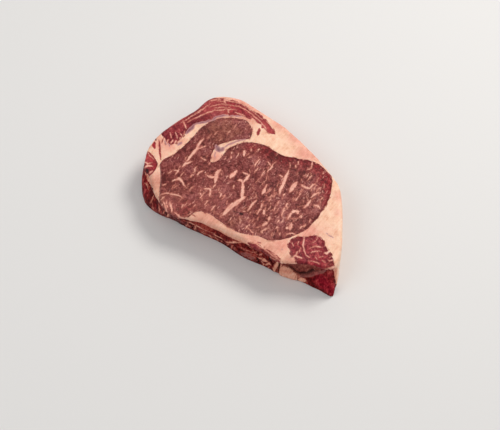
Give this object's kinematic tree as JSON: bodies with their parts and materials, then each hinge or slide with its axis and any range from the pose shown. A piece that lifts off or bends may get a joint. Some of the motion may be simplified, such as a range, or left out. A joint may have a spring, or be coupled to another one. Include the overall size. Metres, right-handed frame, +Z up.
{
  "type": "ribeye steak",
  "caption": "Thick raw ribeye steak lying flat: a marbled eye muscle and smaller muscles set in a body of fat, with ragged rib meat along one side.",
  "frame": {"origin": "middle of the steak's box, on the surface that its lower cut face lies on", "axes": "+Z up out of the shown cut face, +X along the steak from the blunt end to the thick fat edge, -Y towards the ragged rib side and the pointed tail"},
  "size_m": [0.154, 0.1569, 0.03],
  "materials": {
    "fat": "waxy raw beef fat, cream with a pink blush",
    "lean": "moist raw lean, brown-mauve, with pale marbling",
    "red_lean": "moist raw lean, deep red, with a few pale veins"
  },
  "bodies": {
    "root": {"fat": "fat", "eye_muscle": "lean", "cap_muscle": "red_lean", "tail_muscle": "red_lean", "side_meat": "red_lean", "rib_meat": "red_lean"}
  },
  "joints": []
}
